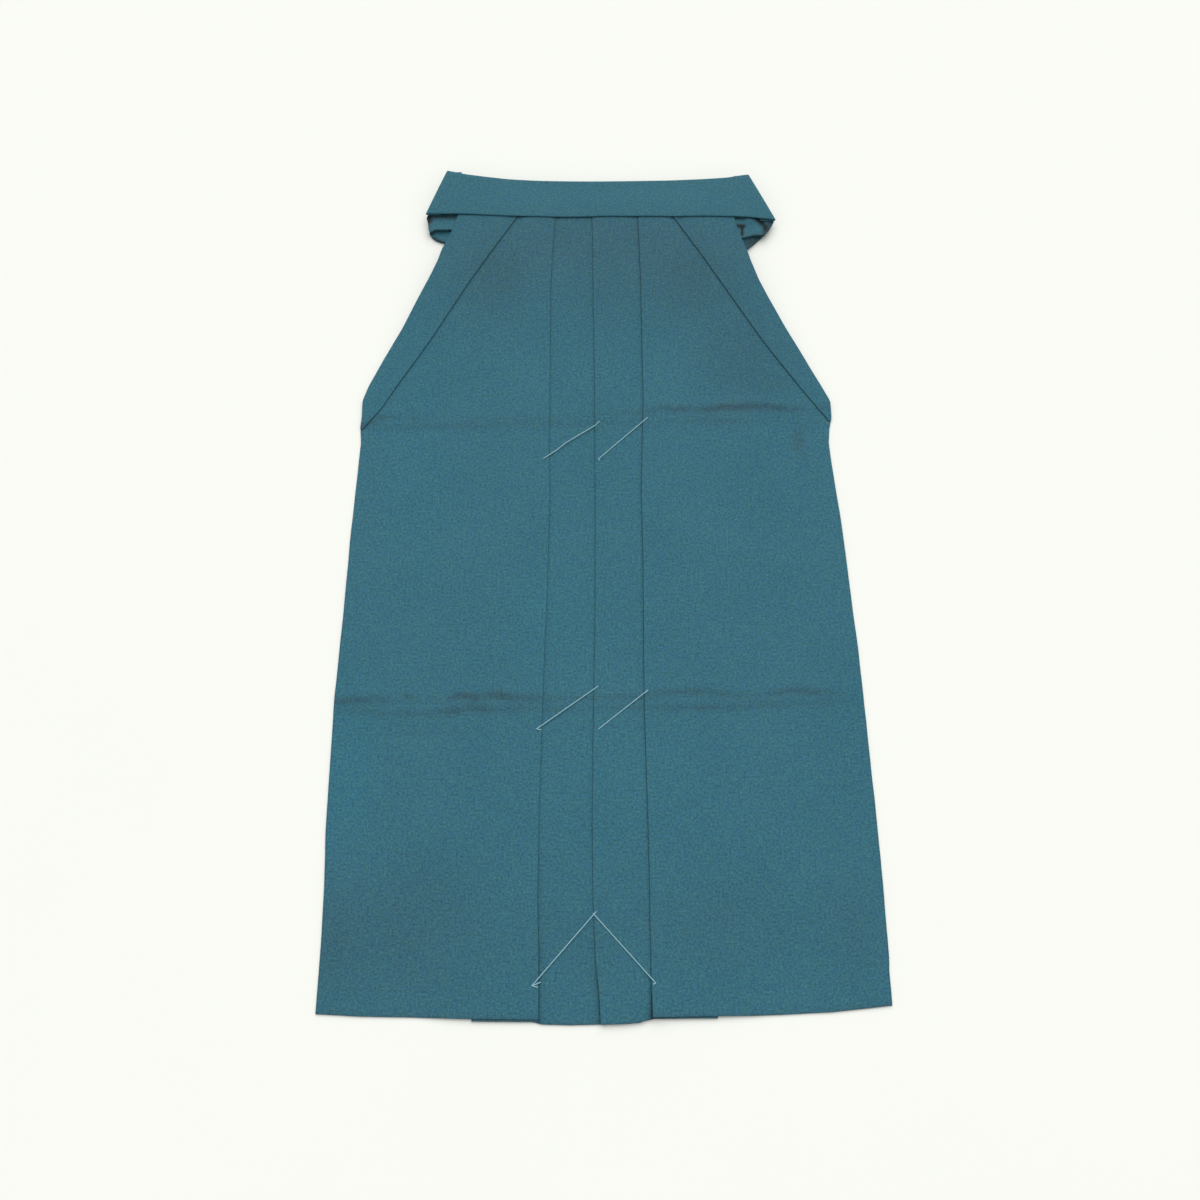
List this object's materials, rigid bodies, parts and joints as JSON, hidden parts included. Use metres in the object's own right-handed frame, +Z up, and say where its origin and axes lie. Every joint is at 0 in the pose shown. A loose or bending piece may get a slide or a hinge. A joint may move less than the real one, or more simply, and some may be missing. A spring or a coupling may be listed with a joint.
{
  "type": "hakama trousers",
  "caption": "Pleated Japanese wide-legged trousers laid flat, front up, with knife pleats, slanted side pleats and folded ties behind a broad waistband.",
  "frame": {"origin": "on the table, under the middle of the garment's outline", "axes": "+Z up out of the garment's front, +Y from the hem to the waistband, +X to the viewer's right"},
  "size_m": [0.5826, 0.9766, 0.0177],
  "materials": {
    "cloth": "plain-weave matt polyester, dull teal",
    "band_cloth": "the same cloth turned over a stiffener, dull teal"
  },
  "bodies": {
    "root": {"front_left": "cloth", "front_right": "cloth", "side_pleat_left": "cloth", "side_pleat_right": "cloth", "back_left": "cloth", "back_right": "cloth", "gusset": "cloth", "waistband_front": "band_cloth", "waistband_back": "band_cloth", "front_tie_left": "band_cloth", "front_tie_right": "band_cloth", "back_tie_left": "band_cloth", "back_tie_right": "band_cloth"}
  },
  "joints": []
}
